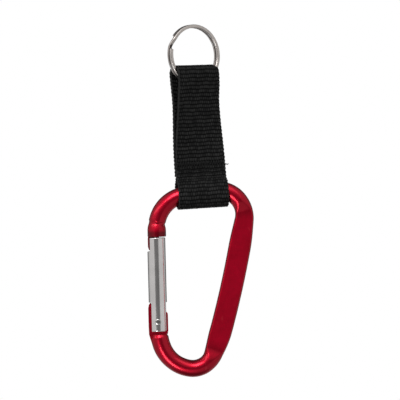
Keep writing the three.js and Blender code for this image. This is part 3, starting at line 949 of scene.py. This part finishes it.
def rod_ring(distance, total):
    """Section of the rod at a distance: flat faces between two round sides where it is pressed."""
    x, z, heading = centre_line(distance)
    wide, thick, side = rod_size(distance, total)
    outward = math.radians(heading + 90)
    angles = 2 * np.pi * (np.arange(ROD_SIDES) + 0.5) / ROD_SIDES
    across = wide * np.cos(angles)
    past_flat = np.clip((np.abs(across) - wide + side) / side, 0, 1)
    depth = thick * np.sqrt(1 - past_flat**2) * np.sign(np.sin(angles))
    return np.stack([x + across * math.cos(outward), depth, z + across * math.sin(outward)], 1)


def mark_finish(body, distances):
    """Stores where the rod is satin, pressed or turned, and the part by the nose face that is turned and made
    a darker red.
    """
    tree = KDTree(len(distances))
    for i, distance in enumerate(distances):
        x, z, _ = centre_line(distance)
        tree.insert((x, 0, z), i)
    tree.balance()
    nearest = [tree.find((v.co.x / MM, 0, v.co.z / MM))[1] for v in body.data.vertices]
    at = distances[nearest]
    pressed = smooth(*SATIN_START, at) * (1 - smooth(*SATIN_END, at))
    collar = 1 - smooth(*COLLAR_SATIN, at)
    store(body, "satin", "FLOAT", np.maximum(pressed, collar))
    store(body, "turned", "FLOAT", 1 - smooth(*TURNED_FACE, at))


def make_carabiner_frame():
    """The bent rod with its shoulder cut away round the gate's end, and a blade on each end."""
    total = sum(length for length, _ in CENTRE_LINE)
    fine_nose = np.arange(0, GROOVE_END[1] + 0.4, ROD_STEP_AT_NOSE)
    fine_end = np.arange(total - SHOULDER_CHAMFER, total, ROD_STEP_AT_END)
    middle = np.arange(fine_nose[-1] + ROD_STEP, fine_end[0] - ROD_STEP / 2, ROD_STEP)
    distances = np.concatenate([fine_nose, middle, fine_end, [total]])
    points, faces = skin([rod_ring(d, total) for d in distances])
    body = make_object("carabiner_body", points, faces, METAL["red"])
    x, z = PIVOT.x, SHOULDER_Z
    combine(body, "DIFFERENCE", [
        block("shoulder_cut", (x - CUT_SIDE, -CUT_SIDE, z), (x + CUT_SIDE, CUT_SIDE, z + CUT_SIDE)),
        pivot_bar("relief", SHOULDER_RELIEF, CUT_HALF_LENGTH),
    ])
    combine(body, "UNION", [blade("tang", TANG), blade("tongue", TONGUE)])
    combine(body, "DIFFERENCE", [pivot_bar("tang_hole", TANG_HOLE_RADIUS, CUT_HALF_LENGTH, 48)])
    keep_material(body, METAL["red"])
    mark_finish(body, distances)
    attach(body, "carabiner")
    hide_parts("carabiner_frame")


# Gate --------------------------------------------------------------------------------------------


def gate_block(name, low, high):
    return block(name, about_pivot(low), about_pivot(high))


def make_gate():
    """Round bar with a bore, a slot at each end for the frame's two blades, and flats beside the slots."""
    profile = [(0, GATE_BOTTOM), *rim(GATE_RADIUS, GATE_BOTTOM, GATE_EDGE, -90)]
    profile += [(GATE_RADIUS, z) for z in np.arange(GATE_BOTTOM + 0.8, GATE_TOP - 0.5, GATE_RING_STEP)]
    profile += [*rim(GATE_RADIUS, GATE_TOP, GATE_EDGE, 0), (0, GATE_TOP)]
    points, faces = lathe(profile, 96)
    bar = make_object("gate_bar", about_pivot(points), faces, METAL["plain"])
    profile = [(0, CUT_BELOW), (BORE_RADIUS, CUT_BELOW), (BORE_RADIUS, BORE_TOP), (0, BORE_TIP)]
    points, faces = lathe(profile, 64)
    bore = make_object("bore", about_pivot(points), faces, METAL["plain"])
    half, side = SLOT_WIDTH / 2, CUT_SIDE
    round_end = pivot_bar("round_end", GATE_END_SWEEP, CUT_HALF_LENGTH, 128)
    combine(round_end, "UNION", [gate_block("above", (-side, -side, 0), (side, side, CUT_ABOVE))])
    combine(bar, "INTERSECT", [round_end])
    combine(bar, "DIFFERENCE", [
        bore,
        gate_block("tang_slot", (-side, -half, CUT_BELOW), (side, half, TANG_SLOT_TOP)),
        gate_block("tongue_slot", (-side, -half, TONGUE_SLOT_BOTTOM), (TONGUE_SLOT_SIDE, half, CUT_ABOVE)),
        gate_block("flat_top", (-side, -side, TOP_FLAT_BOTTOM), (FLAT_X, side, CUT_ABOVE)),
        gate_block("flat_bottom", (-side, -side, CUT_BELOW), (FLAT_X, side, BOTTOM_FLAT_TOP)),
        pivot_bar("ear_holes", EAR_HOLE_RADIUS, CUT_HALF_LENGTH, 48),
    ])
    soften_edges(bar, GATE_BEVEL)
    keep_material(bar, METAL["plain"])
    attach(bar, "gate")
    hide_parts("gate")


def make_rivet():
    """Rivet with low domed heads."""
    dome = [(RIVET_RADIUS * math.sin(a), RIVET_DOME * math.cos(a)) for a in np.linspace(0, math.pi / 2, 9)]
    top = [(radius, RIVET_HALF_LENGTH - RIVET_DOME + up) for radius, up in dome]
    bottom = [(radius, -z) for radius, z in top]
    points, faces = lathe(bottom + top[::-1], 48)
    rivet = make_object("gate_rivet_pin", about_pivot(along_y(points)), faces, METAL["rivet"], 50)
    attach(rivet, "gate")
    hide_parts("gate_rivet")


def make_plunger():
    """Head that rests on the tang, with a stem that keeps the spring in line."""
    profile = [(0, PLUNGER_BOTTOM)]
    profile += rim(PLUNGER_RADIUS, PLUNGER_BOTTOM, PLUNGER_LOWER_EDGE, -90)
    profile += rim(PLUNGER_RADIUS, PLUNGER_SHOULDER, PLUNGER_UPPER_EDGE, 0)
    profile += [(PLUNGER_STEM_RADIUS, PLUNGER_SHOULDER)]
    profile += rim(PLUNGER_STEM_RADIUS, PLUNGER_TOP, PLUNGER_TIP_EDGE, 0)
    profile += [(0, PLUNGER_TOP)]
    points, faces = lathe(profile, 48)
    plunger = make_object("gate_plunger_pin", about_pivot(points), faces, METAL["rivet"])
    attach(plunger, "plunger")
    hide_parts("gate_plunger")


def make_spring():
    angles = np.linspace(0, 2 * math.pi * SPRING_TURNS, 44 * SPRING_TURNS)
    heights = np.linspace(SPRING_BOTTOM, SPRING_TOP, len(angles))
    path = about_pivot(np.stack([SPRING_RADIUS * np.cos(angles), SPRING_RADIUS * np.sin(angles), heights], 1))
    points, faces = skin(tube(path, SPRING_WIRE_RADIUS, 12))
    spring = make_object("gate_coil_spring", points, faces, METAL["spring"])
    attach(spring, "gate")
    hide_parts("gate_spring")
    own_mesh(spring)


# Floor, light and camera -------------------------------------------------------------------------


def make_floor():
    material, tree, shader = new_material("floor_look", Roughness=0.9, Emission_Strength=0.5)
    colour = ramp(tree, object_noise(tree, 6, 3), [(0.3, grey(0.80)), (0.7, grey(0.84))])
    tree.links.new(colour, shader.inputs["Base Color"])
    tree.links.new(colour, shader.inputs["Emission Color"])
    angles = np.linspace(0, 2 * np.pi, 97)[:-1]
    radius, z = FLOOR_RADIUS / MM, FLOOR_Z / MM
    points = [(radius * math.cos(a), radius * math.sin(a), z) for a in angles]
    floor = make_object("floor", points, [tuple(range(len(points)))], material)
    floor.visible_glossy = False
    floor.visible_diffuse = False


def fade(tree, value, low, high, least=0.0):
    """Rises evenly from the least share to one between two values."""
    limits = {"Value": value, "From Min": low, "From Max": high, "To Min": least, "To Max": 1.0}
    return add_node(tree, "ShaderNodeMapRange", limits).outputs["Result"]


def tent_band(tree, share, front):
    """Brightness round the tent. share is the half turn from its front, and front its brightness there."""
    stops = [(0, front), (TENT_FRONT_EDGE, front), *TENT_ROUND]
    return ramp(tree, share, [(degrees / 180, grey(level)) for degrees, level in stops])


def make_world():
    """White where the camera looks, and for the light a tent with pale sides and a darker front and back."""
    world = bpy.data.worlds.new("light_tent")
    world.use_nodes = True
    bpy.context.scene.world = world
    tree = world.node_tree
    direction = add_node(tree, "ShaderNodeTexCoord").outputs["Generated"]
    axes = add_node(tree, "ShaderNodeSeparateXYZ", {"Vector": direction}).outputs
    aside = add_node(tree, "ShaderNodeMath", {0: axes["X"]}, operation="ABSOLUTE").outputs[0]
    ahead = add_node(tree, "ShaderNodeMath", {0: axes["Y"], 1: -1.0}, operation="MULTIPLY").outputs[0]
    azimuth = add_node(tree, "ShaderNodeMath", {0: aside, 1: ahead}, operation="ARCTAN2").outputs[0]
    share = add_node(tree, "ShaderNodeMath", {0: azimuth, 1: math.pi}, operation="DIVIDE").outputs[0]
    level = tent_band(tree, share, TENT_FRONT)
    raised = tent_band(tree, share, TENT_UPPER_FRONT)
    tent = mix_colour(tree, fade(tree, axes["Z"], *TENT_UPPER_FROM), level, raised)
    tent = mix_colour(tree, fade(tree, axes["Z"], *TENT_HORIZON), grey(TENT_BELOW), tent)
    tent = mix_colour(tree, fade(tree, axes["Z"], *TENT_NADIR, TENT_NADIR_SHARE), grey(0), tent)
    camera_ray = add_node(tree, "ShaderNodeLightPath").outputs["Is Camera Ray"]
    colour = mix_colour(tree, camera_ray, tent, grey(1))
    tree.links.new(colour, tree.nodes["Background"].inputs["Color"])


def make_card(name, seen, size, radiance, roll):
    """Soft card that faces the object. seen is its direction as (aside, up), and radiance its brightness."""
    aside, up = seen
    way = Vector((aside, -math.sqrt(1 - aside * aside - up * up), up))
    data = bpy.data.lights.new(name, "AREA")
    data.shape = "RECTANGLE"
    data.size = size[0] * CARD_DISTANCE
    data.size_y = size[1] * CARD_DISTANCE
    data.energy = radiance * math.pi * data.size * data.size_y
    card = bpy.data.objects.new(name, data)
    bpy.context.scene.collection.objects.link(card)
    facing = (-way).to_track_quat("-Z", "Y").to_matrix().to_4x4()
    rolled = Matrix.Rotation(math.radians(roll), 4, "Z")
    card.matrix_world = Matrix.Translation(AIM + way * CARD_DISTANCE) @ facing @ rolled
    card.visible_camera = False


def make_camera():
    data = bpy.data.cameras.new("camera")
    data.sensor_width = 36
    data.lens = data.sensor_width * CAMERA_DISTANCE / PICTURE_WIDTH
    camera = bpy.data.objects.new("camera", data)
    bpy.context.scene.collection.objects.link(camera)
    level = Matrix.Rotation(math.radians(90), 4, "X")
    roll = Matrix.Rotation(math.radians(CAMERA_ROLL), 4, "Z")
    camera.matrix_world = Matrix.Translation(AIM - Vector((0, CAMERA_DISTANCE, 0))) @ level @ roll
    bpy.context.scene.camera = camera
    bpy.context.scene.view_settings.view_transform = "Standard"


make_camera()
make_split_ring()
strip, strip_length = make_webbing()
threads = [
    make_seam("seam_stitches_front", "seam_thread_front", 1, FRONT_LAYER_OUT + STRAP_THICKNESS / 2),
    make_seam("seam_stitches_back", "seam_thread_back", -1, BACK_LAYER_OUT - STRAP_THICKNESS / 2),
    *make_thread_ends(),
]
make_carabiner_frame()
make_gate()
make_rivet()
make_plunger()
make_spring()
make_floor()
make_world()
for card in CARDS:
    make_card(*card)
